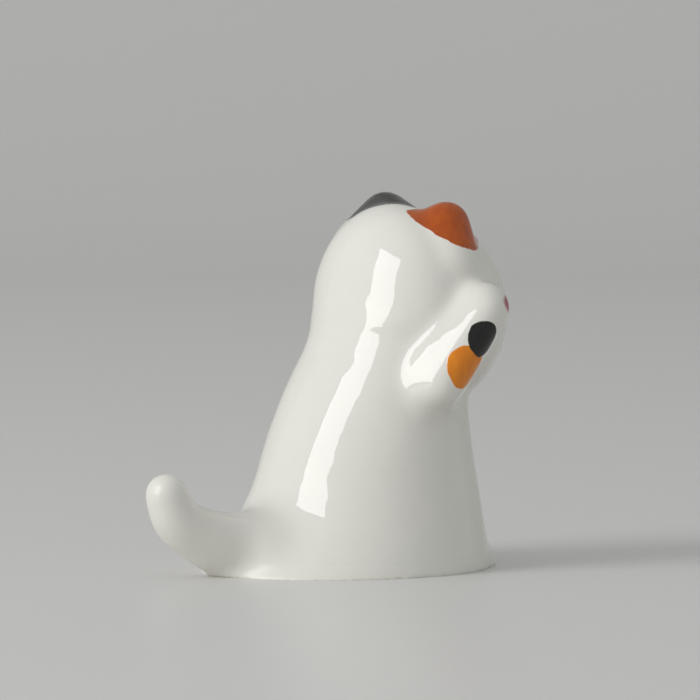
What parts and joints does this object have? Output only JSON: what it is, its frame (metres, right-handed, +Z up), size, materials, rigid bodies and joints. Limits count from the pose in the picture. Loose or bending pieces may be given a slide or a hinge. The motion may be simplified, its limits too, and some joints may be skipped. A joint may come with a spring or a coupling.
{
  "type": "lucky cat figurine",
  "caption": "Small seated lucky cat ornament in glazed porcelain, one paw raised, tail curling up behind, flat unglazed base with a casting vent.",
  "frame": {"origin": "on the resting plane, below the middle of the body's oval foot", "axes": "+Z up, the cat faces -Y, its right side and raised paw are towards -X"},
  "size_m": [0.0284, 0.0445, 0.0397],
  "materials": {
    "glazed_porcelain": "glossy clear glaze over white porcelain with hand-painted black, orange and red"
  },
  "bodies": {
    "root": {"cat_figurine": "glazed_porcelain"}
  },
  "joints": []
}
